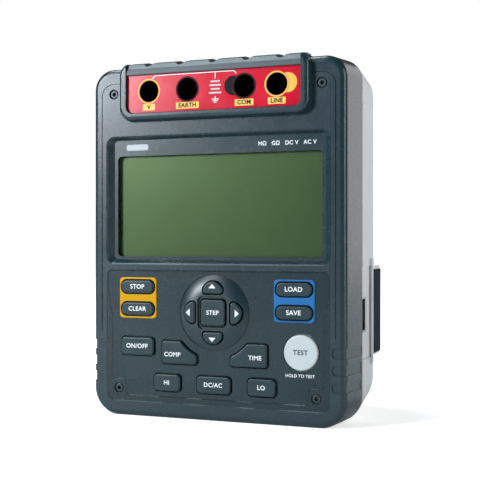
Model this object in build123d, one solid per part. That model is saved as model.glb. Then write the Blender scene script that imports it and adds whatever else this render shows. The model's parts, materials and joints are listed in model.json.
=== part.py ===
"""Portable insulation resistance tester, modelled as the pieces it comes apart into.

Millimetres.  X runs to the right of a person facing the display, Y runs into the
instrument from front to back, and Z is up.  The origin is at the middle of the
instrument's outer box, on the surface it stands on.
"""

import os
from math import atan, cos, degrees, radians, sin

from build123d import *

# ---------------------------------------------------------------- driving dimensions
WIDTH = 155.0            # widest, at the parting line between the two shells
DEPTH = 94.0             # from the front of the terminal hump to the battery door
BODY_TOP = 200.0         # top of the shells
RIDGE_TOP = 202.0        # top of the finger guard over the terminals
TOP_CORNER = 12.0        # corner radii of the shells, seen from the front
BASE_CORNER = 15.5
BASE_TRIM = 0.2          # cut off the bottom, so that the base is a true flat
WALL = 2.5               # moulded wall thickness

HUMP_FRONT = -DEPTH / 2  # the terminal hump stands furthest forward
FACE = HUMP_FRONT + 5.0  # the flat front face
PARTING = FACE + 27.0    # where the front and rear shells meet
SHOULDER = FACE + 60.0   # back of the rear shell beside the battery bulge
REAR = DEPTH / 2         # back of the battery bulge
FACE_INNER = FACE + WALL

FACE_WIDTH = 152.6       # the front shell narrows towards the face
SHOULDER_WIDTH = 150.0   # the rear shell narrows towards the back
SHOULDER_TOP = BODY_TOP - 2.5
SHOULDER_CORNERS = dict(top_corner=16.0, base_corner=25.0)    # and gets rounder
FACE_DROP = 1.2          # and is this much lower there than at the parting line
FACE_EDGE_RADIUS = 3.4   # rounding round the front face
HUMP_BACK = FACE + 14.5

# terminals
TERMINAL_Z = 184.5
TERMINALS = {"volts": -38.7, "earth": -14.7, "common": 19.5, "line": 38.5}
WELL_RADIUS = 6.2        # hole for the shrouded plug of a test lead
SLEEVE_RADIUS = 7.1      # outside of the insulating sleeve, seen as a ring
CONTACT_BORE = 2.0       # radius of the hole for a 4 mm plug
CONTACT_RADIUS = 3.0
BLOCK_HALF = 52.5        # half the width of the terminal block
HUMP_HALF = 57.8         # half the width of the hump moulded round it
HUMP_BOTTOM = 167.4
PANEL_BOTTOM = 172.5
PANEL_TOP = 193.8
PANEL_FRONT = FACE - 3.0
PANEL_THICK = 1.0
NOTCH_SLOPE = 9.0        # the finger guard's notches run down to the front at this angle

# display
RECESS = dict(left=-67.2, right=67.2, bottom=87.4, top=159.2)
RECESS_DEPTH = 3.5
RECESS_RIM = 0.8         # the face slopes down to the display's frame by this much
RECESS_FLOOR = dict(left=-64.2, right=64.2, bottom=89.4, top=157.8)
LCD_OPENING = dict(left=-62.2, right=62.2, bottom=91.0, top=148.7)
BEZEL_BACK = FACE + 4.7

# keypad
PAD_RECESS = 0.6         # the keypad area lies this much under the face
PAD_FACE = FACE + PAD_RECESS
KEY_GAP = 0.8            # clearance round a key in its hole
KEY_PROUD = 1.6          # how far a key stands out of the keypad area
KEY_TRAVEL = 1.2
KEY_BACK = FACE + 3.8    # back of a key's retaining flange
FLANGE_FRONT = FACE_INNER + 0.3
FLANGE_LAP = 1.5         # how far the flange reaches beyond the key all round
FRAME_PROUD = 0.7        # the coloured frames stand proud of the keypad area
DOME_Z = 60.2
DOME_RADIUS = 20.8
DOME_RISE = 2.2
DOME_SEAT = 0.6          # the dome's rim is let into the shell by this much

# boards behind the face
DISPLAY_BOARD = FACE + 10.5
BOARD_THICK = 1.6
MAIN_BOARD = FACE + 36.0

# battery compartment, for eight C cells lying in four rows of two
CELL_RADIUS = 13.1
CELL_LENGTH = 50.0
CELL_PITCH = 27.3
CELL_Y = SHOULDER + 12.7
ROW_Z = [62.25 + CELL_PITCH * step for step in (-1.5, -0.5, 0.5, 1.5)]
BAY_HALF = 52.5
BAY_BOTTOM = 6.5
BAY_TOP = 118.0
DOOR_HALF = 57.5
DOOR_BOTTOM = 4.3
DOOR_TOP = 120.2
DOOR_THICK = 2.4
DOOR_SCREWS = [(x, z) for x in (-54.9, 54.9) for z in (14.0, 110.5)]
DOOR_HEAD_RADIUS = 2.1
FIT_GAP = 0.3            # gap round the doors

CASE_SCREWS = [(-63.0, 184.3), (63.0, 184.3), (-59.75, 15.7), (59.75, 15.7)]
GRIP_Z = [22.0, 31.1, 40.2]
GRIP_DEPTH = 0.6

# cover over the interface socket, hinged on the right-hand side of the rear shell
SIDE_DRAFT = degrees(atan((WIDTH - SHOULDER_WIDTH) / 2 / (SHOULDER - PARTING)))
HINGE_Y = FACE + 50.6
HINGE_X = WIDTH / 2 - (HINGE_Y - PARTING) * (WIDTH - SHOULDER_WIDTH) / 2 / (SHOULDER - PARTING)
HINGE_RISE = 0.25        # the pin's axis stands this far proud of the side surface
PIN_RADIUS = 0.5
BARREL_RADIUS = 1.0
COVER_LENGTH = 22.2
COVER_BOTTOM = 34.6
COVER_TOP = 85.6
COVER_INNER = 0.1        # inner face of the closed cover, proud of the side surface
COVER_OUTER = 1.3
PAD_INNER = -0.6         # inner face of the rubber pad on the cover
BAY_FLOOR = -0.7         # floor that the closed cover lies on
LUG_LENGTH = 4.0
SOCKET = dict(left=FACE + 29.6, right=FACE + 38.6, bottom=49.4, top=68.6)
SOCKET_GAP = 0.15        # gap between the socket and its hole in the rear shell
SOCKET_MOUTH = 75.8


# ---------------------------------------------------------------- drawing helpers
def at_depth(y):
    """Plane seen from the front: its x is X and its y is Z."""
    return Plane(origin=(0, y, 0), x_dir=(1, 0, 0), z_dir=(0, -1, 0))


def slab(outline, front, back):
    """Prism with a front-view outline, from one depth to another."""
    return extrude(at_depth(back) * outline, back - front)


def tapered(front_outline, front, back_outline, back):
    """Straight-sided body between two front-view outlines."""
    return loft([at_depth(front) * front_outline, at_depth(back) * back_outline], ruled=True)


def rounded(left, right, bottom, top, radius):
    shape = RectangleRounded(right - left, top - bottom, radius)
    return Pos((left + right) / 2, (bottom + top) / 2) * shape


def spot(x, z, radius):
    return Pos(x, z) * Circle(radius)


def block(low, high):
    """Box between two corners."""
    size = [b - a for a, b in zip(low, high)]
    middle = [(a + b) / 2 for a, b in zip(low, high)]
    return Pos(*middle) * Box(*size)


def ease(body, amount, front=True):
    """Round the edges of a body's frontmost or rearmost face."""
    faces = body.faces().sort_by(Axis.Y)
    face = faces[0] if front else faces[-1]
    return fillet(face.edges(), amount)


# ---------------------------------------------------------------- outlines
def body_outline(width, top, shrink=0.0, top_corner=TOP_CORNER, base_corner=BASE_CORNER):
    """Outline of a shell: tighter corners at the top, and a little drawn below the base."""
    bottom = -BASE_TRIM
    plate = Pos(0, (top + bottom) / 2) * Rectangle(width - 2 * shrink, top - bottom - 2 * shrink)
    plate = fillet(plate.vertices().group_by(Axis.Y)[-1], top_corner - shrink)
    return fillet(plate.vertices().group_by(Axis.Y)[0], base_corner - shrink)


def shoulder_outline(shrink=0.0):
    return body_outline(SHOULDER_WIDTH, SHOULDER_TOP, shrink, **SHOULDER_CORNERS)


def keypad_outline():
    """Sunken keypad area: waisted at the sides, stepped round the lower screws."""
    right = [(66.6, 82.8), (66.6, 71.0), (63.9, 57.0), (63.9, 20.9), (55.0, 20.9), (55.0, 12.0)]
    left = [(-x, z) for x, z in reversed(right)]
    return make_face(FilletPolyline(*right, *left, radius=2.0, close=True))


def arrow_outline(turn):
    """Arrow key: flat towards the middle of the dome, round towards its rim."""
    sides = Polyline((-5.9, 13.3), (-5.9, 10.7), (5.9, 10.7), (5.9, 13.3))
    crown = ThreePointArc((5.9, 13.3), (0, 17.4), (-5.9, 13.3))
    face = fillet(make_face([sides, crown]).vertices(), 1.3)
    return Pos(0, DOME_Z) * Rot(0, 0, turn) * face


def wing_outline(side):
    """Key beside the dome, with one corner cut back along an arc round the dome."""
    reach = 26.0
    arc_at = [(side * reach * cos(radians(a)), DOME_Z - reach * sin(radians(a))) for a in (39.5, 53, 67)]
    edge = ThreePointArc(*arc_at)
    corners = [arc_at[2], (arc_at[2][0], 31.0), (side * 31.9, 31.0), (side * 31.9, arc_at[0][1]), arc_at[0]]
    return fillet(make_face([Polyline(*corners), edge]).vertices(), 1.5)


KEYS = {
    "stop_key": rounded(-57.6, -37.0, 70.3, 77.5, 3.2),
    "clear_key": rounded(-57.6, -37.0, 57.7, 64.9, 3.2),
    "load_key": rounded(37.0, 57.6, 70.3, 77.5, 3.2),
    "save_key": rounded(37.0, 57.6, 57.7, 64.9, 3.2),
    "on_off_key": rounded(-57.8, -37.0, 35.1, 45.1, 2.2),
    "compare_key": wing_outline(-1),
    "time_key": wing_outline(1),
    "high_ohms_key": rounded(-36.8, -20.4, 15.4, 24.8, 2.2),
    "volts_key": rounded(-10.2, 10.2, 15.4, 24.8, 2.2),
    "low_ohms_key": rounded(20.4, 36.8, 15.4, 24.8, 2.2),
    "test_key": spot(51.3, 40.1, 9.6),
    "up_key": arrow_outline(0),
    "left_key": arrow_outline(90),
    "down_key": arrow_outline(180),
    "right_key": arrow_outline(270),
    "step_key": rounded(-7.3, 7.3, DOME_Z - 7.3, DOME_Z + 7.3, 2.2),
}
DOME_KEYS = ["up_key", "left_key", "down_key", "right_key"]


def key_hole(name):
    return offset(KEYS[name], KEY_GAP)


# ---------------------------------------------------------------- shells
def front_body(shrink=0.0):
    """Outer form of the front shell, or the same form drawn in by an amount."""
    face = body_outline(FACE_WIDTH, BODY_TOP - FACE_DROP, shrink)
    seam = body_outline(WIDTH, BODY_TOP, shrink)
    return tapered(face, FACE + shrink, seam, PARTING)


def hump():
    """Raised frame round the terminals, carried up over the top edge."""
    foot = rounded(-HUMP_HALF, HUMP_HALF, HUMP_BOTTOM, RIDGE_TOP - 0.4, 8.0)
    rim = rounded(-HUMP_HALF + 1.0, HUMP_HALF - 1.0, HUMP_BOTTOM + 1.4, RIDGE_TOP - 1.2, 7.0)
    nose = ease(tapered(rim, HUMP_FRONT, foot, FACE + 1), 2.2)
    return nose + ease(slab(foot, FACE + 1, HUMP_BACK), 1.5, front=False)


def grip_cutter(side, z):
    """Groove for the fingers: starts on the face and wraps round to the parting line."""
    inner_end = 68.4
    run = rounded(inner_end, inner_end + 30, z - 2.85, z + 2.85, 2.8)
    bar = slab(run, FACE - 5, PARTING)
    if side < 0:
        bar = mirror(bar, Plane.YZ)
    return bar


def contour_groove():
    """Fine line round the upper part of the face."""
    line = rounded(-70.95, 70.95, 0, 190.2, 7.2) - rounded(-70.45, 70.45, -20, 189.7, 6.7)
    upper = line & rounded(-80, 80, 48, 260, 1)
    return slab(upper, FACE - 1, FACE + 0.45)


def parting_groove():
    """Fine shadow line round the rear edge of the front shell."""
    ring = body_outline(WIDTH + 2, BODY_TOP + 2) - body_outline(WIDTH, BODY_TOP, 0.6)
    return slab(ring, PARTING - 0.4, PARTING)


def sunken(outline, floor):
    """Cutter for a shallow recess in the face, with its sides sloping at 45 degrees."""
    rise = floor - FACE + 1
    return tapered(offset(outline, rise), FACE - 1, outline, floor)


def below_base():
    return block((-WIDTH, -DEPTH, -20), (WIDTH, DEPTH, 0))


def front_shell():
    shell = ease(front_body(), FACE_EDGE_RADIUS) + hump()
    core = ease(front_body(shrink=GRIP_DEPTH), FACE_EDGE_RADIUS - GRIP_DEPTH)
    for z in GRIP_Z:
        for side in (-1, 1):
            shell -= grip_cutter(side, z) - core
    shell -= tapered(body_outline(FACE_WIDTH, BODY_TOP - FACE_DROP, WALL), FACE_INNER,
                     body_outline(WIDTH, BODY_TOP, WALL), PARTING)
    for x, z in CASE_SCREWS:
        shell += slab(spot(x, z, 4.5), FACE + 1, PARTING)
    shell -= sunken(rounded(-67.2, 67.2, 8.7, 83.2, 5), FACE + PAD_RECESS / 2)
    shell -= sunken(keypad_outline(), PAD_FACE)
    shell -= contour_groove()
    shell -= sunken(rounded(**RECESS, radius=4.5), FACE + RECESS_RIM)
    shell -= slab(rounded(**RECESS, radius=4.5), FACE, FACE + 8)
    shell -= slab(rounded(-BLOCK_HALF - 0.2, BLOCK_HALF + 0.2, PANEL_BOTTOM - 0.5, 230, 4.2),
                  HUMP_FRONT - 1, HUMP_BACK + 0.2)
    for x, z in CASE_SCREWS:
        shell -= slab(spot(x, z, 3.0), FACE - 1, FACE + 0.8)
        shell -= slab(spot(x, z, 2.7), FACE, FACE + 3.4)
        shell -= slab(spot(x, z, 1.6), FACE, PARTING)
    for name in KEYS:
        shell -= slab(key_hole(name), FACE - 1, FACE + 5)
    for frame in (frame_outline(-1), frame_outline(1)):
        shell -= slab(frame, FACE - 1, PAD_FACE + 0.6)
    shell -= slab(spot(0, DOME_Z, DOME_RADIUS + 0.35), FACE - 1, PAD_FACE + DOME_SEAT)
    return shell - parting_groove() - below_base()


def rear_bulge():
    base = rounded(-62.5, 62.5, -BASE_TRIM, 128, 10)
    back = rounded(-60.5, 60.5, -BASE_TRIM, 124.5, 10)
    return tapered(base, SHOULDER - 2, back, REAR)


def rear_body():
    seam = body_outline(WIDTH, BODY_TOP)
    return ease(tapered(seam, PARTING, shoulder_outline(), SHOULDER), 5.0, front=False)


def on_side(body):
    """Move a body drawn round the cover's hinge line onto the drafted side wall."""
    return Pos(HINGE_X, HINGE_Y, 0) * Rot(0, 0, SIDE_DRAFT) * body


def rear_shell():
    shell = rear_body() + ease(rear_bulge(), 4.0, front=False)
    seam = body_outline(WIDTH, BODY_TOP, WALL)
    cavity = tapered(seam, PARTING, shoulder_outline(WALL), SHOULDER - 3)
    cavity -= block((66, PARTING - 1, 31), (90, SHOULDER, 89))
    for x, z in CASE_SCREWS:
        cavity -= slab(spot(x, z, 4.5), PARTING - 1, SHOULDER)
    shell -= cavity
    for x, z in CASE_SCREWS:
        shell -= slab(spot(x, z, 1.5), PARTING - 1, SHOULDER - 12)
    shell -= slab(seal_outline(), PARTING - 1, PARTING + 0.6)
    shell -= slab(rounded(-BAY_HALF, BAY_HALF, BAY_BOTTOM, BAY_TOP, 4), SHOULDER - 0.5, REAR + 1)
    shell -= slab(rounded(-DOOR_HALF, DOOR_HALF, DOOR_BOTTOM, DOOR_TOP, 7), REAR - DOOR_THICK - 0.1, REAR + 1)
    shell -= slab(door_seal_outline(), REAR - DOOR_THICK - 0.9, REAR)
    for x, z in DOOR_SCREWS:
        shell -= slab(spot(x, z, 1.5), SHOULDER + 14, REAR)
    shell -= cover_bay()
    shell += hinge_lugs()
    shell -= block((50, SOCKET["left"] - SOCKET_GAP, SOCKET["bottom"] - SOCKET_GAP),
                   (80, SOCKET["right"] + SOCKET_GAP, SOCKET["top"] + SOCKET_GAP))
    shell -= port_hinge_pin()
    return shell - below_base()


def cover_bay():
    """Shallow bay that the side cover lies in when closed, or lies back over when open."""
    low, high = COVER_BOTTOM - FIT_GAP, COVER_TOP + FIT_GAP
    bay = block((BAY_FLOOR, -26, low), (6, 0, high))
    bay += block((BAY_FLOOR - 0.4, -0.1, low), (6, 14, high))
    bay += block((HINGE_RISE - BARREL_RADIUS - 0.4, -1.5, low), (6, 1.5, high))
    return on_side(bay)


def hinge_lugs():
    """Ears that hold the ends of the cover's hinge pin."""
    lugs = []
    for low in (COVER_BOTTOM - FIT_GAP - LUG_LENGTH, COVER_TOP + FIT_GAP):
        lug = block((-1.5, -3.0, low), (COVER_OUTER, 1.6, low + LUG_LENGTH))
        lugs.append(fillet(lug.faces().sort_by(Axis.X)[-1].edges(), 0.6))
    return on_side(lugs[0] + lugs[1])


def seal_outline():
    outer = body_outline(WIDTH, BODY_TOP, 1.0)
    inner = body_outline(WIDTH, BODY_TOP, 1.9)
    return outer - inner


def shell_seal():
    return slab(seal_outline(), PARTING, PARTING + 0.6)


def case_screws():
    screws = []
    for x, z in CASE_SCREWS:
        head = ease(slab(spot(x, z, 2.6), FACE + 0.6, FACE + 3.4), 0.7)
        drive = slab(Pos(x, z) * RegularPolygon(1.3, 6), FACE, FACE + 2.2)
        screws.append(head - drive + slab(spot(x, z, 1.5), FACE + 3.4, SHOULDER - 13))
    return Compound(children=screws)


# ---------------------------------------------------------------- terminals
def terminal_block():
    outline = rounded(-BLOCK_HALF, BLOCK_HALF, PANEL_BOTTOM - 0.3, 198, 4)
    body = slab(outline, PANEL_FRONT + PANEL_THICK, FACE + 2)
    body &= block((-60, HUMP_FRONT, 170), (60, FACE + 4, PANEL_TOP + 0.1))
    for x in TERMINALS.values():
        body += slab(spot(x, TERMINAL_Z, 8.6), FACE, FACE + 26)
    body += finger_guard()
    for x in TERMINALS.values():
        body -= slab(spot(x, TERMINAL_Z, SLEEVE_RADIUS), HUMP_FRONT, FACE + 24)
        body -= slab(spot(x, TERMINAL_Z, CONTACT_RADIUS), FACE, FACE + 30)
    return body


def finger_guard():
    """Ridge over the panel, leaning back, with round notches that run down to the front."""
    foot = PANEL_TOP + 0.1
    front = HUMP_FRONT + 0.4
    back = HUMP_BACK - 0.1
    side = [(back, foot), (front, foot), (front + 0.6, foot + 3.2), (front + 4.0, RIDGE_TOP - 1.5),
            (front + 10.5, RIDGE_TOP), (back - 1.5, RIDGE_TOP), (back, RIDGE_TOP - 2.0)]
    rounding = [0, 0.4, 2.0, 2.5, 3.0, 1.0, 1.0]
    profile = Plane.YZ * make_face(FilletPolyline(*side, radius=rounding, close=True))
    ridge = extrude(profile, BLOCK_HALF, both=True)
    for x in (-40, -20, 0, 20, 40):
        ridge -= Pos(x, front, RIDGE_TOP - 0.3) * Rot(90 + NOTCH_SLOPE, 0, 0) * Cylinder(3.4, 60)
    return ridge


def terminal_panel():
    outline = rounded(-BLOCK_HALF + 0.2, BLOCK_HALF - 0.2, PANEL_BOTTOM, PANEL_TOP + 8, 4)
    panel = slab(outline, PANEL_FRONT, PANEL_FRONT + PANEL_THICK)
    panel &= block((-60, -60, 170), (60, 0, PANEL_TOP))
    for x in TERMINALS.values():
        panel -= slab(spot(x, TERMINAL_Z, SLEEVE_RADIUS), HUMP_FRONT, FACE)
    return panel


def socket_sleeve(x):
    """Insulating sleeve: a wide well for the plug's shroud, and a post round the contact."""
    sleeve = ease(slab(spot(x, TERMINAL_Z, SLEEVE_RADIUS), PANEL_FRONT - 0.2, FACE + 24), 0.3)
    sleeve -= slab(spot(x, TERMINAL_Z, WELL_RADIUS), HUMP_FRONT, FACE + 21)
    sleeve += slab(spot(x, TERMINAL_Z, 3.9), FACE + 9, FACE + 22)
    return sleeve - slab(spot(x, TERMINAL_Z, CONTACT_RADIUS), FACE + 5, FACE + 30)


def socket_contact(x):
    """Contact tube for a 4 mm plug, with a solder tail that reaches the main board."""
    tube = slab(spot(x, TERMINAL_Z, CONTACT_RADIUS), FACE + 9.6, FACE + 30)
    tube -= slab(spot(x, TERMINAL_Z, CONTACT_BORE), FACE + 9, FACE + 28)
    return tube + slab(spot(x, TERMINAL_Z, 1.2), FACE + 30, MAIN_BOARD)


# ---------------------------------------------------------------- display
def display_bezel():
    """Frame let into the face, with sloping sides down to a flat floor round the screen."""
    front = FACE + RECESS_RIM
    bezel = slab(rounded(**RECESS, radius=4.5), front, BEZEL_BACK)
    wide = dict(left=-69.2, right=69.2, bottom=85.4, top=161.2)
    bezel += slab(rounded(**wide, radius=5), FACE_INNER, BEZEL_BACK)
    bezel -= tapered(rounded(**RECESS, radius=4.5), front, rounded(**RECESS_FLOOR, radius=2.5),
                     FACE + RECESS_DEPTH)
    return bezel - slab(rounded(**LCD_OPENING, radius=2.5), FACE, BEZEL_BACK + 1)


def display_window():
    return slab(rounded(-64.5, 64.5, 88.8, 151.2, 2), BEZEL_BACK, BEZEL_BACK + 1.2)


def lcd_glass():
    glass = slab(rounded(-63.6, 63.6, 89.8, 150.2, 0.5), FACE + 6.2, FACE + 7.4)
    return glass + slab(rounded(-63.6, 63.6, 86.4, 150.2, 0.5), FACE + 7.4, FACE + 8.6)


def lcd_backlight():
    return slab(rounded(-63.0, 63.0, 90.4, 150.2, 1), FACE + 8.6, DISPLAY_BOARD)


def lcd_connector():
    return block((-60, FACE + 8.6, 86.6), (60, DISPLAY_BOARD, 89.6))


# ---------------------------------------------------------------- keypad
def frame_outline(side):
    left, right = sorted((side * 35.6, side * 59.0))
    return rounded(left, right, 56.0, 79.2, 2.2)


def key_frame(side):
    """Coloured frame round a pair of keys."""
    frame = ease(slab(frame_outline(side), PAD_FACE - FRAME_PROUD, PAD_FACE + 0.6), 0.4)
    pair = ("stop_key", "clear_key") if side < 0 else ("load_key", "save_key")
    for name in pair:
        frame -= slab(key_hole(name), FACE - 5, FACE + 5)
    return frame


def dpad_dome():
    """Round dome that carries the arrow keys, with a square recess for the middle key."""
    top = PAD_FACE - DOME_RISE
    rim = PAD_FACE + 0.1
    back = PAD_FACE + DOME_SEAT
    slope = ThreePointArc((9.0, top), (16.2, top + 0.55), (DOME_RADIUS, rim))
    edge = Polyline((DOME_RADIUS, rim), (DOME_RADIUS, back), (0, back), (0, top), (9.0, top))
    dome = Pos(0, 0, DOME_Z) * revolve(make_face([slope, edge]), Axis.Y)
    dome -= slab(rounded(-9.2, 9.2, DOME_Z - 9.2, DOME_Z + 9.2, 3), FACE - 9, top + 1.2)
    for name in DOME_KEYS + ["step_key"]:
        dome -= slab(key_hole(name), FACE - 9, FACE + 5)
    return dome


def key(name):
    """Key cap with rounded front edges and a flange that keeps it behind the face."""
    front = PAD_FACE - KEY_PROUD
    if name in DOME_KEYS:
        front -= 1.2
    elif name == "step_key":
        front -= 0.6
    cap = ease(slab(KEYS[name], front, KEY_BACK), 0.8)
    return cap + slab(offset(KEYS[name], FLANGE_LAP), FLANGE_FRONT, KEY_BACK)


def keypad_mat():
    """Rubber mat with one raised dome behind each key, short of the key by its travel."""
    mat = slab(rounded(-61, 61, 26.5, 82, 2), DISPLAY_BOARD - 1.4, DISPLAY_BOARD)
    mat += slab(rounded(-50, 50, 13, 30, 2), DISPLAY_BOARD - 1.4, DISPLAY_BOARD)
    for outline in KEYS.values():
        middle = outline.center()
        stud = spot(middle.X, middle.Y, 2.6)
        mat += ease(slab(stud, KEY_BACK + KEY_TRAVEL + FIT_GAP, DISPLAY_BOARD - 1.4), 0.4)
    return mat


# ---------------------------------------------------------------- electronics
def display_board():
    board = rounded(-64, 64, 26, 162, 2) + rounded(-51, 51, 12, 30, 2)
    return slab(board, DISPLAY_BOARD, DISPLAY_BOARD + BOARD_THICK)


def main_board():
    return slab(rounded(-57, 57, 24, 192, 2), MAIN_BOARD, MAIN_BOARD + BOARD_THICK)


def board_standoffs():
    posts = [slab(spot(x, z, 2.5), DISPLAY_BOARD + BOARD_THICK, MAIN_BOARD)
             for x in (-52, 52) for z in (31, 157)]
    return Compound(children=posts)


def hv_transformer():
    """Test-voltage transformer: a wound bobbin between the halves of a ferrite core."""
    core = block((-40, MAIN_BOARD - 20, 120), (-8, MAIN_BOARD - 2, 148))
    core -= block((-35, MAIN_BOARD - 21, 125), (-13, MAIN_BOARD, 143))
    winding = block((-34.9, MAIN_BOARD - 17, 125), (-13.1, MAIN_BOARD - 5, 143))
    pins = block((-38, MAIN_BOARD - 2, 121), (-10, MAIN_BOARD, 147))
    return core + winding + pins


def storage_capacitors():
    cans = [Pos(12 + 22 * step, MAIN_BOARD - 10, 134) * Cylinder(9, 34) for step in (0, 1)]
    return Compound(children=cans)


def range_relays():
    relays = [block((-46 + 18 * i, MAIN_BOARD - 16, 84), (-31 + 18 * i, MAIN_BOARD, 106)) for i in range(4)]
    return Compound(children=relays)


def sounder():
    body = slab(spot(-30, 55, 8), MAIN_BOARD - 9, MAIN_BOARD)
    return body - slab(spot(-30, 55, 1.2), MAIN_BOARD - 10, MAIN_BOARD - 6)


def interface_socket():
    """Nine-way socket behind the side cover, open to the right."""
    shell = block((57, SOCKET["left"], SOCKET["bottom"]), (SOCKET_MOUTH, SOCKET["right"], SOCKET["top"]))
    wall = 0.8
    return shell - block((62, SOCKET["left"] + wall, SOCKET["bottom"] + wall),
                         (80, SOCKET["right"] - wall, SOCKET["top"] - wall))


def interface_contacts():
    middle = (SOCKET["left"] + SOCKET["right"]) / 2
    rows = {middle - 1.4: range(-2, 3), middle + 1.4: range(-2, 2)}
    pins = []
    for y, steps in rows.items():
        for step in steps:
            z = 59 + 2.8 * step + (1.4 if y > middle else 0)
            pins.append(Pos(64, y, z) * Rot(0, 90, 0) * Cylinder(0.5, 4))
    return Compound(children=pins)


# ---------------------------------------------------------------- batteries
def battery_cells():
    cells = []
    for row, z in enumerate(ROW_Z):
        turn = 90 if row % 2 else -90
        for x in (-CELL_LENGTH / 2, CELL_LENGTH / 2):
            can = Cylinder(CELL_RADIUS, CELL_LENGTH - 1.6) + Pos(0, 0, CELL_LENGTH / 2) * Cylinder(3.2, 1.6)
            cells.append(Pos(x, CELL_Y, z) * Rot(0, turn, 0) * can)
    return Compound(children=cells)


def battery_plates():
    """Sprung-steel plates that join the rows at each end."""
    plates = []
    for side in (-1, 1):
        left, right = sorted((side * BAY_HALF, side * (BAY_HALF - 0.4)))
        for z in ROW_Z:
            plates.append(block((left, CELL_Y - 9, z - 9), (right, CELL_Y + 9, z + 9)))
    return Compound(children=plates)


def battery_springs():
    """Conical springs on the negative side of each row, drawn as closed cones."""
    cones = []
    for row, z in enumerate(ROW_Z):
        side = -1 if row % 2 else 1
        cone = Cone(6, 3.5, 1.0)
        cones.append(Pos(side * (BAY_HALF - 0.9), CELL_Y, z) * Rot(0, -90 * side, 0) * cone)
    return Compound(children=cones)


def battery_door():
    gap = FIT_GAP
    outline = rounded(-DOOR_HALF + gap, DOOR_HALF - gap, DOOR_BOTTOM + gap, DOOR_TOP - gap, 6.7)
    door = ease(slab(outline, REAR - DOOR_THICK, REAR), 0.6, front=False)
    for x, z in DOOR_SCREWS:
        door -= slab(spot(x, z, DOOR_HEAD_RADIUS), REAR - 1.2, REAR + 1)
        door -= slab(spot(x, z, 1.35), REAR - 4, REAR + 1)
    for step in range(6):
        z = 48 + 5 * step
        door -= slab(rounded(-18, 18, z - 0.9, z + 0.9, 0.8), REAR - 0.7, REAR + 1)
    return door


def door_seal_outline():
    outer = rounded(-BAY_HALF - 0.8, BAY_HALF + 0.8, BAY_BOTTOM - 0.8, BAY_TOP + 0.8, 4.8)
    inner = rounded(-BAY_HALF - 0.2, BAY_HALF + 0.2, BAY_BOTTOM - 0.2, BAY_TOP + 0.2, 4.2)
    return outer - inner


def battery_door_seal():
    return slab(door_seal_outline(), REAR - DOOR_THICK - 0.9, REAR - DOOR_THICK - 0.15)


def battery_door_screws():
    screws = []
    for x, z in DOOR_SCREWS:
        head = slab(spot(x, z, DOOR_HEAD_RADIUS), REAR - 1.2, REAR - 0.1)
        head -= slab(Pos(x, z) * (Rectangle(2.8, 0.6) + Rectangle(0.6, 2.8)), REAR - 0.8, REAR + 1)
        screws.append(head + slab(spot(x, z, 1.35), REAR - 11, REAR - 1.2))
    return Compound(children=screws)


# ---------------------------------------------------------------- side cover
def opened(body):
    """Turn a part of the cover from closed, as it is drawn, to lying wide open."""
    return on_side(Pos(HINGE_RISE, 0, 0) * Rot(0, 0, 180) * Pos(-HINGE_RISE, 0, 0) * body)


def port_cover():
    """Flap over the interface socket, with the hinge barrel along one edge."""
    plate = block((COVER_INNER, -COVER_LENGTH, COVER_BOTTOM), (COVER_OUTER, 0, COVER_TOP))
    far_corners = plate.edges().filter_by(Axis.X).group_by(Axis.Y)[0]
    plate = fillet(far_corners, 1.0)
    middle = (COVER_BOTTOM + COVER_TOP) / 2
    barrel = Pos(HINGE_RISE, 0, middle) * Cylinder(BARREL_RADIUS, COVER_TOP - COVER_BOTTOM)
    bore = Pos(HINGE_RISE, 0, middle) * Cylinder(PIN_RADIUS + 0.05, 60)
    return opened(plate + barrel - bore)


def port_cover_seal():
    """Rubber pad that fills most of the cover's inner face."""
    pad = block((PAD_INNER, -COVER_LENGTH + 0.5, COVER_BOTTOM + 1.3), (COVER_INNER, -1.3, COVER_TOP - 1.9))
    return opened(pad)


def port_hinge_pin():
    return on_side(Pos(HINGE_RISE, 0, (COVER_BOTTOM + COVER_TOP) / 2) * Cylinder(PIN_RADIUS, 56))


# ---------------------------------------------------------------- all parts
def all_parts():
    parts = {
        "front_shell": front_shell(),
        "rear_shell": rear_shell(),
        "shell_seal": shell_seal(),
        "case_screws": case_screws(),
        "terminal_block": terminal_block(),
        "terminal_panel": terminal_panel(),
        "display_bezel": display_bezel(),
        "display_window": display_window(),
        "lcd_glass": lcd_glass(),
        "lcd_backlight": lcd_backlight(),
        "lcd_connector": lcd_connector(),
        "yellow_key_frame": key_frame(-1),
        "blue_key_frame": key_frame(1),
        "dpad_dome": dpad_dome(),
        "keypad_mat": keypad_mat(),
        "display_board": display_board(),
        "main_board": main_board(),
        "board_standoffs": board_standoffs(),
        "hv_transformer": hv_transformer(),
        "storage_capacitors": storage_capacitors(),
        "range_relays": range_relays(),
        "sounder": sounder(),
        "interface_socket": interface_socket(),
        "interface_contacts": interface_contacts(),
        "battery_cells": battery_cells(),
        "battery_plates": battery_plates(),
        "battery_springs": battery_springs(),
        "battery_door": battery_door(),
        "battery_door_seal": battery_door_seal(),
        "battery_door_screws": battery_door_screws(),
        "port_cover": port_cover(),
        "port_cover_seal": port_cover_seal(),
        "port_hinge_pin": port_hinge_pin(),
    }
    for name, x in TERMINALS.items():
        parts[f"socket_sleeve_{name}"] = socket_sleeve(x)
        parts[f"socket_contact_{name}"] = socket_contact(x)
    for name in KEYS:
        parts[name] = key(name)
    return parts


os.makedirs("parts", exist_ok=True)
for node, solid in all_parts().items():
    export_step(solid, f"parts/{node}.step")
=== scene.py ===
"""Looks of the insulation resistance tester: materials, printing, lights and camera.

Metres, in the CAD model's own frame.  Printed marks are thin solids that stand a few
hundredths of a millimetre proud of the piece they are printed on, and ride with it.
"""

import json
import math

import bmesh
import bpy
from mathutils import Matrix, Vector


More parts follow.
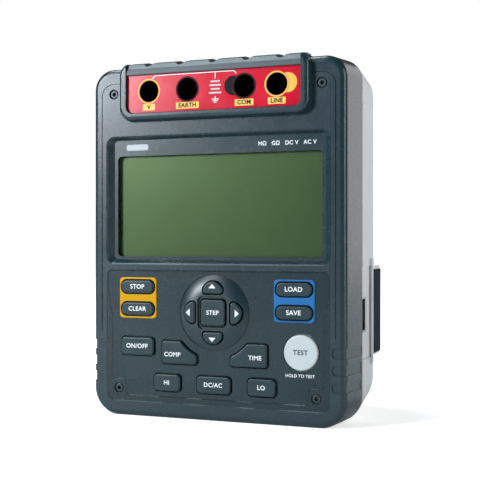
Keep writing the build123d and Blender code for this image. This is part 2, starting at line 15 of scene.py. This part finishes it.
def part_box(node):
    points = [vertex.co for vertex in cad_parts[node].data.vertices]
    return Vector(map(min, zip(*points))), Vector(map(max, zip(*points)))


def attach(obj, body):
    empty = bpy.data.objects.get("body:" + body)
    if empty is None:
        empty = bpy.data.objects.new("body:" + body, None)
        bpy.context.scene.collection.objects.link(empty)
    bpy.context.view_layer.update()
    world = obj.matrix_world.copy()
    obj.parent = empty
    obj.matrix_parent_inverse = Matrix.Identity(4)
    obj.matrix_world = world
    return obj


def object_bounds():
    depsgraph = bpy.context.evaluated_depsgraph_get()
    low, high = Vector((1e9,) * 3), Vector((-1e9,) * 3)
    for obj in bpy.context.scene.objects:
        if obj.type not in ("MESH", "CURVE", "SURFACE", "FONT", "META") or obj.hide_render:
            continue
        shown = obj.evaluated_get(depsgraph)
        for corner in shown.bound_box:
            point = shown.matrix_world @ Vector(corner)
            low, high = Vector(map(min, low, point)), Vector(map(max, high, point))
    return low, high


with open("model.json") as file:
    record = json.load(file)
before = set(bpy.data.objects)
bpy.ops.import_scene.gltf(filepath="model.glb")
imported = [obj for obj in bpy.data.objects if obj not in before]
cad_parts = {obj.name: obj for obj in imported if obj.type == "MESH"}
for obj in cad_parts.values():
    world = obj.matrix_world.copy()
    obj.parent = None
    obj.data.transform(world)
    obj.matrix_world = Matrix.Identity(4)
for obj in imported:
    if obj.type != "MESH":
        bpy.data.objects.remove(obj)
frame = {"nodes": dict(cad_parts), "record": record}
cad_low, cad_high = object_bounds()
nodes = frame["nodes"]

MM = 0.001
INK = 0.05 * MM          # thickness of printing
TERMINALS = ("volts", "earth", "common", "line")
RING_PITCH = 0.9 * MM    # fine rings on the test key
SLEEVE = 7.15 * MM       # radius that printing keeps clear of round a terminal
BEZEL_DEPTH = 2.7 * MM   # the header strip lies this deep in the display's frame
FACE_DEPTH = 5.0 * MM    # the flat face, behind the front of the terminal hump
PAD_DEPTH = 5.6 * MM     # the sunken keypad area, behind the terminal hump
PAD_REACH = 68.0 * MM    # half width of the keypad area
PAD_FOOT = 8.4 * MM      # height of its lower edge
PAD_TOP = 83.6 * MM      # height of its upper edge
SIDE_DRAFT = math.atan(2.5 / 33)                    # lean of the case's side
SIDE_HINGE = Vector((75.71, 8.6, 0)) * MM           # foot of the side cover's hinge
COOL_LIGHT = (0.87, 0.93, 1.0)
COOL_TOP = (0.80, 0.92, 1.0)


# ---------------------------------------------------------------- measures from the frame
def middle(node):
    low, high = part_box(node)
    return (low + high) / 2


def front_of(node):
    """Depth of a node's frontmost point."""
    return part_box(node)[0].y


# ---------------------------------------------------------------- material helpers
def new_material(name):
    material = bpy.data.materials.new(name)
    material.use_nodes = True
    return material, material.node_tree.nodes, material.node_tree.links


def add(tree_nodes, kind, **values):
    """New shader node, with its input sockets set by name."""
    node = tree_nodes.new("ShaderNode" + kind)
    for key, value in values.items():
        node.inputs[key.replace("_", " ")].default_value = value
    return node


def object_noise(tree_nodes, links, scale, detail=4.0):
    """Noise in the object's own metres, so that its grain has a real size."""
    place = tree_nodes.new("ShaderNodeTexCoord")
    noise = add(tree_nodes, "TexNoise", Scale=scale, Detail=detail)
    links.new(place.outputs["Object"], noise.inputs["Vector"])
    return noise


def ramp(tree_nodes, links, source, low, high, start=0.3, stop=0.7):
    """Colour ramp between two colours, driven by a value."""
    node = tree_nodes.new("ShaderNodeValToRGB")
    node.color_ramp.elements[0].position = start
    node.color_ramp.elements[0].color = (*low, 1.0)
    node.color_ramp.elements[1].position = stop
    node.color_ramp.elements[1].color = (*high, 1.0)
    links.new(source, node.inputs["Fac"])
    return node


def spread(tree_nodes, links, source, low, high):
    """Map a 0 to 1 value onto a range."""
    node = tree_nodes.new("ShaderNodeMapRange")
    node.inputs["To Min"].default_value = low
    node.inputs["To Max"].default_value = high
    links.new(source, node.inputs["Value"])
    return node.outputs["Result"]


def grain_bump(tree_nodes, links, shader, scale, strength, distance):
    noise = object_noise(tree_nodes, links, scale, detail=3.0)
    bump = add(tree_nodes, "Bump", Strength=strength, Distance=distance)
    links.new(noise.outputs["Fac"], bump.inputs["Height"])
    links.new(bump.outputs["Normal"], shader.inputs["Normal"])


def surface(name, dark, light, roughness, grain=2600.0, strength=0.25, distance=0.03 * MM,
            metallic=0.0, patch=30.0, edge=0.0, coat=0.0, specular=0.5):
    """Moulded, printed or plated surface: slow colour drift, fine grain, lighter worn edges."""
    material, tree, links = new_material(name)
    shader = tree["Principled BSDF"]
    shader.inputs["Metallic"].default_value = metallic
    shader.inputs["Coat Weight"].default_value = coat
    shader.inputs["Specular IOR Level"].default_value = specular
    drift = object_noise(tree, links, patch)
    colour = ramp(tree, links, drift.outputs["Fac"], dark, light).outputs["Color"]
    if edge:
        shape = tree.new("ShaderNodeNewGeometry")
        worn = ramp(tree, links, shape.outputs["Pointiness"], (0, 0, 0), (edge,) * 3, 0.52, 0.62)
        mix = tree.new("ShaderNodeMix")
        mix.data_type = "RGBA"
        mix.blend_type = "ADD"
        mix.inputs["Factor"].default_value = 1.0
        links.new(colour, mix.inputs["A"])
        links.new(worn.outputs["Color"], mix.inputs["B"])
        colour = mix.outputs["Result"]
    links.new(colour, shader.inputs["Base Color"])
    rough = object_noise(tree, links, patch * 4)
    links.new(spread(tree, links, rough.outputs["Fac"], roughness - 0.05, roughness + 0.05),
              shader.inputs["Roughness"])
    grain_bump(tree, links, shader, grain, strength, distance)
    return material


def shades(red, green, blue, drift=0.12):
    """Darker and lighter neighbours of a colour."""
    colour = (red, green, blue)
    return [tuple(c * (1 - drift) for c in colour), tuple(min(1, c * (1 + drift)) for c in colour)]


# ---------------------------------------------------------------- materials
def lcd_material():
    """Screen without a backlight lit: green, and brighter towards the light that it throws back."""
    material, tree, links = new_material("lcd_green")
    shader = tree["Principled BSDF"]
    drift = object_noise(tree, links, 14.0)
    colour = ramp(tree, links, drift.outputs["Fac"], (0.014, 0.045, 0.013), (0.019, 0.055, 0.017))
    links.new(colour.outputs["Color"], shader.inputs["Base Color"])
    shader.inputs["Metallic"].default_value = 0.30
    shader.inputs["Roughness"].default_value = 0.36
    shader.inputs["Specular IOR Level"].default_value = 0.64
    shader.inputs["Specular Tint"].default_value = (1.0, 0.92, 0.58, 1.0)
    return material


def front_material():
    """Dark teal plastic of the front shell, painted darker in the sunken keypad area as painted shade."""
    material = surface("front_plastic", *shades(0.008, 0.024, 0.032), 0.27, edge=0.01, specular=0.45)
    tree, links = material.node_tree.nodes, material.node_tree.links
    shader = tree["Principled BSDF"]
    place = tree.new("ShaderNodeTexCoord")
    axes = tree.new("ShaderNodeSeparateXYZ")
    links.new(place.outputs["Object"], axes.inputs[0])
    reach = tree.new("ShaderNodeMath")
    reach.operation = "ABSOLUTE"
    links.new(axes.outputs["X"], reach.inputs[0])
    limits = ((axes.outputs["Y"], "GREATER_THAN", front_of("front_shell") + FACE_DEPTH + 0.2 * MM),
              (reach.outputs["Value"], "LESS_THAN", PAD_REACH),
              (axes.outputs["Z"], "GREATER_THAN", PAD_FOOT),
              (axes.outputs["Z"], "LESS_THAN", PAD_TOP))
    painted_shade_mask = None
    for value, operation, limit in limits:
        test = tree.new("ShaderNodeMath")
        test.operation = operation
        test.inputs[1].default_value = limit
        links.new(value, test.inputs[0])
        if painted_shade_mask is None:
            painted_shade_mask = test.outputs["Value"]
            continue
        both = tree.new("ShaderNodeMath")
        both.operation = "MULTIPLY"
        links.new(painted_shade_mask, both.inputs[0])
        links.new(test.outputs["Value"], both.inputs[1])
        painted_shade_mask = both.outputs["Value"]
    # painted shade: inside the keypad area the base colour is multiplied darker, most of all in red
    pad_painted_shade = tree.new("ShaderNodeMix")
    pad_painted_shade.data_type = "RGBA"
    pad_painted_shade.blend_type = "MULTIPLY"
    links.new(painted_shade_mask, pad_painted_shade.inputs["Factor"])
    links.new(shader.inputs["Base Color"].links[0].from_socket, pad_painted_shade.inputs["A"])
    tone = object_noise(tree, links, 40.0)
    links.new(ramp(tree, links, tone.outputs["Fac"], *shades(0.15, 0.52, 0.58, 0.05)).outputs["Color"],
              pad_painted_shade.inputs["B"])
    links.new(pad_painted_shade.outputs["Result"], shader.inputs["Base Color"])
    return material


def sleeve_material(name, mouth):
    """Insulating sleeve in its terminal's colour round the mouth, painted near-black further in as painted
    shade inside the socket.
    """
    material = surface(name, *shades(0.004, 0.002, 0.002), 0.7, specular=0.15)
    tree, links = material.node_tree.nodes, material.node_tree.links
    place = tree.new("ShaderNodeTexCoord")
    depth = tree.new("ShaderNodeSeparateXYZ")
    links.new(place.outputs["Object"], depth.inputs[0])
    painted_shade_mask = tree.new("ShaderNodeMapRange")
    mouth_depth = front_of("socket_sleeve_volts")
    painted_shade_mask.inputs["From Min"].default_value = mouth_depth + 0.5 * MM
    painted_shade_mask.inputs["From Max"].default_value = mouth_depth + 0.9 * MM
    links.new(depth.outputs["Y"], painted_shade_mask.inputs["Value"])
    drift = object_noise(tree, links, 60.0)
    ring = ramp(tree, links, drift.outputs["Fac"], *shades(*mouth))
    # painted shade: deeper into the socket the mouth colour gives way to near-black
    mix = tree.new("ShaderNodeMix")
    mix.data_type = "RGBA"
    links.new(painted_shade_mask.outputs["Result"], mix.inputs["Factor"])
    links.new(ring.outputs["Color"], mix.inputs["A"])
    shader = tree["Principled BSDF"]
    links.new(shader.inputs["Base Color"].links[0].from_socket, mix.inputs["B"])
    links.new(mix.outputs["Result"], shader.inputs["Base Color"])
    return material


def test_key_material():
    """Pale key with fine rings round its middle."""
    material = surface("test_key", *shades(0.44, 0.49, 0.49, 0.03), 0.36)
    tree, links = material.node_tree.nodes, material.node_tree.links
    place = tree.new("ShaderNodeTexCoord")
    moved = tree.new("ShaderNodeVectorMath")
    moved.operation = "SUBTRACT"
    moved.inputs[1].default_value = middle("test_key")
    links.new(place.outputs["Object"], moved.inputs[0])
    rings = add(tree, "TexWave", Scale=2 * math.pi / (20 * RING_PITCH), Distortion=0.0)
    rings.wave_type = "RINGS"
    rings.rings_direction = "Y"
    links.new(moved.outputs["Vector"], rings.inputs["Vector"])
    bump = add(tree, "Bump", Strength=0.35, Distance=0.05 * MM)
    links.new(rings.outputs["Fac"], bump.inputs["Height"])
    links.new(bump.outputs["Normal"], tree["Principled BSDF"].inputs["Normal"])
    return material


def window_material():
    """Thin clear pane: mostly see-through, with a reflection that grows at grazing angles."""
    material, tree, links = new_material("window_clear")
    tree.remove(tree["Principled BSDF"])
    clear = tree.new("ShaderNodeBsdfTransparent")
    clear.inputs["Color"].default_value = (0.96, 0.985, 0.965, 1)
    gloss = tree.new("ShaderNodeBsdfGlossy")
    facing = add(tree, "LayerWeight", Blend=0.5)
    steep = tree.new("ShaderNodeMath")
    steep.operation = "POWER"
    steep.inputs[1].default_value = 5.0
    links.new(facing.outputs["Facing"], steep.inputs[0])
    smear = object_noise(tree, links, 60.0)
    links.new(spread(tree, links, smear.outputs["Fac"], 0.10, 0.16), gloss.inputs["Roughness"])
    mix = tree.new("ShaderNodeMixShader")
    links.new(spread(tree, links, steep.outputs["Value"], 0.004, 0.35), mix.inputs["Fac"])
    links.new(clear.outputs["BSDF"], mix.inputs[1])
    links.new(gloss.outputs["BSDF"], mix.inputs[2])
    links.new(mix.outputs["Shader"], tree["Material Output"].inputs["Surface"])
    return material


MATERIALS = {
    "front_plastic": front_material(),
    # terminal guard: shell plastic, duller, its colour painted lighter as painted sheen
    "guard_plastic_painted_sheen": surface("guard_plastic_painted_sheen", *shades(0.028, 0.044, 0.054), 0.45, strength=0.06, edge=0.01),
    # D-pad dome: shell plastic, duller, its colour painted darker as painted shade
    "dome_plastic_painted_shade": surface("dome_plastic_painted_shade", *shades(0.004, 0.017, 0.024), 0.34, strength=0.15, edge=0.01),
    "rear_plastic": surface("rear_plastic", *shades(0.50, 0.515, 0.52, 0.05), 0.45, edge=0.03),
    "key_plastic": surface("key_plastic", *shades(0.006, 0.022, 0.029), 0.33, edge=0.02, specular=0.4),
    "test_key": test_key_material(),
    "red_panel": surface("red_panel", *shades(0.53, 0.001, 0.020, 0.05), 0.20, specular=0.35),
    "yellow_plastic": surface("yellow_plastic", *shades(0.56, 0.29, 0.002, 0.06), 0.34, specular=0.10),
    "blue_plastic": surface("blue_plastic", *shades(0.008, 0.12, 0.33, 0.06), 0.34, specular=0.25),
    "yellow_sleeve": sleeve_material("yellow_sleeve", (0.80, 0.45, 0.12)),
    "black_plastic": sleeve_material("black_plastic", (0.035, 0.008, 0.012)),
    # rubber: near-black teal, partly the rubber's own dark colour and partly painted shade on the opened side
    # cover's inner face
    "rubber": surface("rubber", *shades(0.001, 0.013, 0.017), 0.8, grain=1800.0, specular=0.1),
    "black_steel": surface("black_steel", *shades(0.020, 0.034, 0.040), 0.35, metallic=0.3, edge=0.02),
    "steel": surface("steel", *shades(0.42, 0.42, 0.43), 0.30, metallic=1.0, grain=4000.0, strength=0.1),
    "brass": surface("brass", *shades(0.035, 0.025, 0.012), 0.50, metallic=1.0, grain=4000.0, strength=0.1),
    "aluminium": surface("aluminium", *shades(0.62, 0.63, 0.65), 0.35, metallic=1.0),
    "ferrite": surface("ferrite", *shades(0.03, 0.03, 0.033), 0.6, grain=1500.0),
    "relay_plastic": surface("relay_plastic", *shades(0.03, 0.07, 0.16), 0.4),
    "cell_can": surface("cell_can", *shades(0.05, 0.05, 0.055), 0.35, coat=0.3),
    "circuit_board": surface("circuit_board", *shades(0.012, 0.10, 0.035, 0.3), 0.35, patch=400.0, coat=0.4),
    "white_plastic": surface("white_plastic", *shades(0.7, 0.7, 0.68, 0.04), 0.5),
    "lcd": lcd_material(),
    "window": window_material(),
}
INK_WHITE = surface("ink_white", *shades(0.78, 0.80, 0.80, 0.04), 0.5)
INK_DARK = surface("ink_dark", *shades(0.010, 0.010, 0.012), 0.6, specular=0.1)
INK_YELLOW = surface("ink_yellow", *shades(0.74, 0.40, 0.02, 0.05), 0.4)
INK_PALE = surface("ink_pale", *shades(0.42, 0.46, 0.48, 0.04), 0.5)
INK_AMBER = surface("ink_amber", *shades(0.80, 0.48, 0.06, 0.05), 0.45)


# pieces with a duller finish than the shell of the same plastic; the guard's colour is painted lighter as
# painted sheen, the dome's darker as painted shade
OWN_FINISH = {"terminal_block": "guard_plastic_painted_sheen", "dpad_dome": "dome_plastic_painted_shade"}


def paint_nodes():
    for part in frame["record"]["subparts"]:
        target = nodes[part["node"]]
        finish = OWN_FINISH.get(part["node"], part["material_slot"])
        target.data.materials.clear()
        target.data.materials.append(MATERIALS[finish])


# ---------------------------------------------------------------- printing
def finish_piece(piece, name, material, body):
    piece.name = name
    piece.data.materials.append(material)
    bpy.context.scene.collection.objects.link(piece)
    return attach(piece, body)


def flat_shape(name, outline, depth, material, body):
    """Printed area with an outline in X and Z, its back lying on a surface at a depth."""
    mesh = bpy.data.meshes.new(name)
    shape = bmesh.new()
    back = [shape.verts.new((x, depth, z)) for x, z in outline]
    face = shape.faces.new(back)
    pushed = bmesh.ops.extrude_face_region(shape, geom=[face])
    moved = [item for item in pushed["geom"] if isinstance(item, bmesh.types.BMVert)]
    bmesh.ops.translate(shape, verts=moved, vec=(0, -INK, 0))
    bmesh.ops.recalc_face_normals(shape, faces=shape.faces)
    shape.to_mesh(mesh)
    shape.free()
    return finish_piece(bpy.data.objects.new(name, mesh), name, material, body)


def arc(x, z, radius, start, stop, steps=24):
    """Points along an arc, with angles in degrees."""
    angles = [math.radians(start + (stop - start) * i / steps) for i in range(steps + 1)]
    return [(x + radius * math.cos(a), z + radius * math.sin(a)) for a in angles]


def rounded_outline(x, z, width, height, radius):
    corners = []
    for turn, (sx, sz) in enumerate(((1, 1), (-1, 1), (-1, -1), (1, -1))):
        centre_x = x + sx * (width / 2 - radius)
        centre_z = z + sz * (height / 2 - radius)
        corners += arc(centre_x, centre_z, radius, 90 * turn, 90 * turn + 90, 6)
    return corners


def crescent(x, z, radius, hole_x, hole_z, hole):
    """Outline of a disc, less the part of it that a larger circle covers."""
    apart = math.hypot(hole_x - x, hole_z - z)
    towards = math.degrees(math.atan2(hole_z - z, hole_x - x))
    half = math.degrees(math.acos((apart ** 2 + radius ** 2 - hole ** 2) / (2 * apart * radius)))
    hole_half = math.degrees(math.acos((apart ** 2 + hole ** 2 - radius ** 2) / (2 * apart * hole)))
    outside = arc(x, z, radius, towards + half, towards + 360 - half, 40)
    painted_shade_mask = arc(hole_x, hole_z, hole, towards + 180 + hole_half, towards + 180 - hole_half, 20)
    return outside + painted_shade_mask[1:-1]


def bar(x1, z1, x2, z2, width):
    """Outline of a straight line with square ends."""
    along = Vector((x2 - x1, z2 - z1)).normalized() * width / 2
    across = Vector((-along.y, along.x))
    return [(x1 + across.x, z1 + across.y), (x1 - across.x, z1 - across.y),
            (x2 - across.x, z2 - across.y), (x2 + across.x, z2 + across.y)]


def lettering(name, words, x, z, depth, height, material, body, stretch=1.0, weight=0.020):
    """Generic lettering, centred on a point, with its back lying on a surface at a depth."""
    curve = bpy.data.curves.new(name, "FONT")
    curve.body = words
    curve.align_x = "CENTER"
    curve.align_y = "CENTER"
    curve.size = height / 0.70
    curve.offset = height * weight
    curve.space_character = 1.06
    curve.extrude = INK / 2
    curve.resolution_u = 3
    piece = bpy.data.objects.new(name, curve)
    turn = Matrix.Rotation(math.radians(90), 4, "X")
    wider = Matrix.Scale(stretch, 4, (1, 0, 0))
    piece.matrix_world = Matrix.Translation((x, depth - INK / 2, z)) @ turn @ wider
    return finish_piece(piece, name, material, body)


KEY_WORDS = {
    "stop_key": ("STOP", 2.5),
    "clear_key": ("CLEAR", 2.5),
    "load_key": ("LOAD", 2.5),
    "save_key": ("SAVE", 2.5),
    "on_off_key": ("ON/OFF", 2.5),
    "compare_key": ("COMP", 2.4),
    "time_key": ("TIME", 2.4),
    "high_ohms_key": ("HI", 2.4),
    "volts_key": ("DC/AC", 2.4),
    "low_ohms_key": ("LO", 2.4),
    "step_key": ("STEP", 2.4),
    "test_key": ("TEST", 2.6),
}
WORD_SHIFT = {"compare_key": (-4.0, -1.2), "time_key": (4.0, -1.2)}


def print_key_words():
    for key, (words, height) in KEY_WORDS.items():
        place = middle(key)
        shift_x, shift_z = WORD_SHIFT.get(key, (0, 0))
        ink = INK_DARK if key == "test_key" else INK_WHITE
        lettering(f"print_{key}", words, place.x + shift_x * MM, place.z + shift_z * MM, front_of(key),
                  height * MM, ink, key, stretch=1.02)


def print_arrows():
    dome = middle("dpad_dome")
    for key, turn in (("up_key", 90), ("left_key", 180), ("down_key", 270), ("right_key", 0)):
        place = middle(key)
        away = (place - dome).normalized() * 0.4 * MM
        corners = [(1.5, 0), (-0.8, 2.1), (-0.8, -2.1)]
        turned = [Matrix.Rotation(math.radians(turn), 2) @ Vector(corner) * MM for corner in corners]
        outline = [(place.x + away.x + p.x, place.z + away.z + p.y) for p in turned]
        flat_shape(f"print_{key}", outline, front_of(key), INK_WHITE, key)


def print_panel():
    """Tag under each terminal."""
    depth = front_of("terminal_panel")
    low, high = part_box("terminal_panel")
    words = {"volts": "V", "earth": "EARTH", "common": "COM", "line": "LINE"}
    widths = {"volts": 7.6, "earth": 14.0, "common": 11.0, "line": 10.2}
    for name in TERMINALS:
        x = middle(f"socket_sleeve_{name}").x
        z = low.z + 3.0 * MM
        tag = rounded_outline(x, z, widths[name] * MM, 3.6 * MM, 0.3 * MM)
        flat_shape(f"tag_{name}", tag, depth, INK_AMBER, "case")
        lettering(f"print_{name}", words[name], x, z, depth - INK, 2.4 * MM, INK_DARK, "case", weight=0.045)


def print_terminal_marks():
    """Discs beside two terminals, and the line that joins the outer pair of the test circuit."""
    depth = front_of("terminal_panel")
    level = middle("socket_sleeve_volts").z
    for name, shift, ink in (("common", -6.3, INK_DARK), ("line", 6.3, INK_YELLOW)):
        x = middle(f"socket_sleeve_{name}").x
        disc = crescent(x + shift * MM, level + 0.5 * MM, 5.4 * MM, x, level, SLEEVE)
        flat_shape(f"disc_{name}", disc, depth, ink, "case")
    top = level + 8.6 * MM
    left = middle("socket_sleeve_volts").x + 2.3 * MM
    right = middle("socket_sleeve_common").x - 4.6 * MM
    drop = 2.3 * MM
    lines = [(left, level + 6.9 * MM, left + 1.7 * MM, top), (left + 1.7 * MM, top, right - 1.5 * MM, top),
             (right - 1.5 * MM, top, right, level + 7.0 * MM), (drop, top, drop, top - 3.6 * MM)]
    for count, ends in enumerate(lines):
        flat_shape(f"link_line_{count}", bar(*ends, 0.45 * MM), depth, INK_WHITE, "case")
    for count, (wide, below) in enumerate(((5.6, 5.2), (7.0, 7.3), (5.6, 9.4), (7.6, 11.5))):
        z = top - below * MM
        flat_shape(f"rating_bar_{count}", rounded_outline(drop, z, wide * MM, 0.9 * MM, 0.3 * MM),
                   depth, INK_PALE, "case")
    earth = top - 15.0 * MM
    flat_shape("earth_stem", bar(drop, earth + 1.6 * MM, drop, earth, 0.45 * MM), depth, INK_WHITE, "case")
    for count, wide in enumerate((4.2, 2.8, 1.4)):
        z = earth - count * 0.9 * MM
        flat_shape(f"earth_bar_{count}", bar(drop - wide * MM / 2, z, drop + wide * MM / 2, z, 0.45 * MM),
                   depth, INK_WHITE, "case")


def print_header():
    """Plain plate and the units measured, on the strip over the screen."""
    depth = front_of("display_bezel") + BEZEL_DEPTH
    plate = rounded_outline(-49.5 * MM, 153.6 * MM, 14 * MM, 3.4 * MM, 1.2 * MM)
    flat_shape("header_plate", plate, depth, INK_PALE, "case")
    lettering("print_units", "M\u03a9   G\u03a9   DC V   AC V", 42 * MM, 153.2 * MM, depth, 2.2 * MM,
              INK_WHITE, "case")
    lettering("print_hold", "HOLD TO TEST", 50.5 * MM, 27.4 * MM, front_of("front_shell") + PAD_DEPTH,
              1.6 * MM, INK_WHITE, "case")


def paint_side_bay_shadow():
    """Painted shadow: a thin dark strip on the floor of the side cover's bay, along the joint of the shells,
    where the front shell's edge throws shade.
    """
    turn = Matrix.Rotation(SIDE_DRAFT, 4, "Z")
    place = Matrix.Translation(SIDE_HINGE) @ turn
    low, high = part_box("port_cover")
    mesh = bpy.data.meshes.new("bay_painted_shadow")
    shape = bmesh.new()
    bmesh.ops.create_cube(shape, size=1.0)
    size = Vector((INK, 2.3 * MM, high.z - low.z))
    at = Vector((-0.7 * MM + INK / 2, -22.3 * MM, (low.z + high.z) / 2))
    for corner in shape.verts:
        corner.co = place @ (corner.co * size + at)
    shape.to_mesh(mesh)
    shape.free()
    finish_piece(bpy.data.objects.new("bay_painted_shadow", mesh), "bay_painted_shadow", INK_DARK, "case")


# ---------------------------------------------------------------- stage, lights and camera
def floor_material():
    """White sweep that glows a little, more so away from the object, as a lit backdrop does."""
    material = surface("floor_white", (0.90, 0.90, 0.90), (0.93, 0.93, 0.93), 0.7, grain=300.0, strength=0.02)
    tree, links = material.node_tree.nodes, material.node_tree.links
    shader = tree["Principled BSDF"]
    place = tree.new("ShaderNodeTexCoord")
    away = tree.new("ShaderNodeVectorMath")
    away.operation = "LENGTH"
    links.new(place.outputs["Object"], away.inputs[0])
    glow = tree.new("ShaderNodeMapRange")
    glow.inputs["From Min"].default_value = 0.10
    glow.inputs["From Max"].default_value = 0.60
    glow.inputs["To Min"].default_value = 0.60
    glow.inputs["To Max"].default_value = 1.0
    links.new(away.outputs["Value"], glow.inputs["Value"])
    seen = tree.new("ShaderNodeLightPath")
    only_seen = tree.new("ShaderNodeMath")
    only_seen.operation = "MULTIPLY"
    links.new(glow.outputs["Result"], only_seen.inputs[0])
    links.new(seen.outputs["Is Camera Ray"], only_seen.inputs[1])
    shader.inputs["Emission Color"].default_value = (1, 1, 1, 1)
    links.new(only_seen.outputs["Value"], shader.inputs["Emission Strength"])
    return material


def white_floor():
    mesh = bpy.data.meshes.new("floor")
    half = 3.0
    corners = [(-half, -half, 0), (half, -half, 0), (half, half, 0), (-half, half, 0)]
    mesh.from_pydata(corners, [], [(0, 1, 2, 3)])
    floor = bpy.data.objects.new("floor", mesh)
    floor.data.materials.append(floor_material())
    bpy.context.scene.collection.objects.link(floor)


def softbox(name, at, size, power, target, colour=(1, 1, 1)):
    lamp = bpy.data.lights.new(name, "AREA")
    lamp.shape = "RECTANGLE"
    lamp.size, lamp.size_y = size
    lamp.energy = power
    lamp.color = colour
    light = bpy.data.objects.new(name, lamp)
    light.location = at
    light.rotation_euler = (Vector(target) - Vector(at)).to_track_quat("-Z", "Y").to_euler()
    bpy.context.scene.collection.objects.link(light)


def studio_light():
    """Softboxes from the left, the right, above and behind, in a dim white room."""
    centre = (cad_low + cad_high) / 2
    softbox("key_left", (-1.006, -1.287, 0.57), (0.45, 0.45), 26.0, centre, COOL_LIGHT)
    softbox("above_left", (-0.80, -1.10, 1.25), (0.5, 0.5), 8.0, centre, COOL_LIGHT)
    softbox("side_right", (1.5, -0.40, 0.45), (0.7, 1.2), 12.0, centre)
    softbox("back_right", (1.0, 1.8, 0.5), (1.8, 1.6), 13.0, centre)
    softbox("top", (-0.55, 0.0, 1.5), (0.6, 0.6), 15.0, centre, COOL_TOP)
    world = bpy.data.worlds.new("studio")
    bpy.context.scene.world = world
    world.use_nodes = True
    tree, links = world.node_tree.nodes, world.node_tree.links
    room = tree["Background"]
    room.inputs["Strength"].default_value = 0.07
    backdrop = add(tree, "Background", Color=(1, 1, 1, 1), Strength=1.0)
    seen = tree.new("ShaderNodeLightPath")
    mix = tree.new("ShaderNodeMixShader")
    room.inputs["Color"].default_value = (0.95, 0.98, 1.0, 1.0)
    links.new(seen.outputs["Is Camera Ray"], mix.inputs["Fac"])
    links.new(room.outputs["Background"], mix.inputs[1])
    links.new(backdrop.outputs["Background"], mix.inputs[2])
    links.new(mix.outputs["Shader"], tree["World Output"].inputs["Surface"])


def camera():
    """Level view of the front, a little from the right."""
    view = bpy.data.cameras.new("camera")
    view.sensor_width = 36.0
    view.lens = 81.26
    eye = bpy.data.objects.new("camera", view)
    eye.location = (0.2457, cad_low.y + 5 * MM - 0.5476, 0.1005)
    eye.rotation_euler = (math.radians(90), 0, math.radians(22.77))
    bpy.context.scene.collection.objects.link(eye)
    bpy.context.scene.camera = eye


# ---------------------------------------------------------------- put together
paint_nodes()
print_key_words()
print_arrows()
print_panel()
print_terminal_marks()
print_header()
paint_side_bay_shadow()
white_floor()
studio_light()
camera()
bpy.context.scene.view_settings.view_transform = "Standard"
